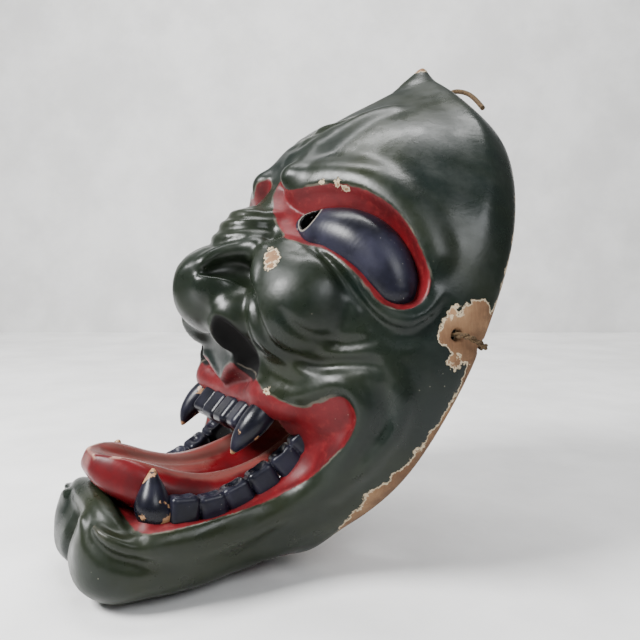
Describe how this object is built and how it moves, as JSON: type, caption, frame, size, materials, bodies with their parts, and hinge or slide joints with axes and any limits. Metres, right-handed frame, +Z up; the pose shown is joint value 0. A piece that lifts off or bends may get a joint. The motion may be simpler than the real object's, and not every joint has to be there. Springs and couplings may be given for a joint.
{
  "type": "carved demon mask",
  "caption": "Hollow carved wooden demon mask with pointed crown, bulging inset eyes, open fanged mouth, long tongue, twin chin lobes and cord ties at the sides and crown.",
  "frame": {"origin": "middle of the leaning mask's footprint, on the surface that its chin lobes and low rim stand on", "axes": "+Z up, +X towards the wearer's left, -Y forwards out of the face; the mask leans back by 25 degrees"},
  "size_m": [0.1986, 0.2109, 0.2435],
  "materials": {
    "green_lacquer": "satin black-green lacquer over carved wood, worn to bare wood at the rim",
    "black_lacquer": "glossy blue-black lacquer",
    "red_lacquer": "satin crimson lacquer",
    "bare_wood": "bare wood",
    "hemp_cord": "dull twisted cord"
  },
  "bodies": {
    "root": {"face_shell": "green_lacquer", "left_eye": "black_lacquer", "right_eye": "black_lacquer", "upper_tooth_row": "black_lacquer", "upper_left_fang": "black_lacquer", "upper_right_fang": "black_lacquer", "lower_left_fang": "black_lacquer", "lower_right_fang": "black_lacquer", "lower_left_tooth_row": "black_lacquer", "lower_right_tooth_row": "black_lacquer", "tongue": "red_lacquer", "tongue_pegs": "bare_wood", "left_side_tie": "hemp_cord", "right_side_tie": "hemp_cord", "crown_cord": "hemp_cord", "crown_cord_knot": "hemp_cord"}
  },
  "joints": []
}
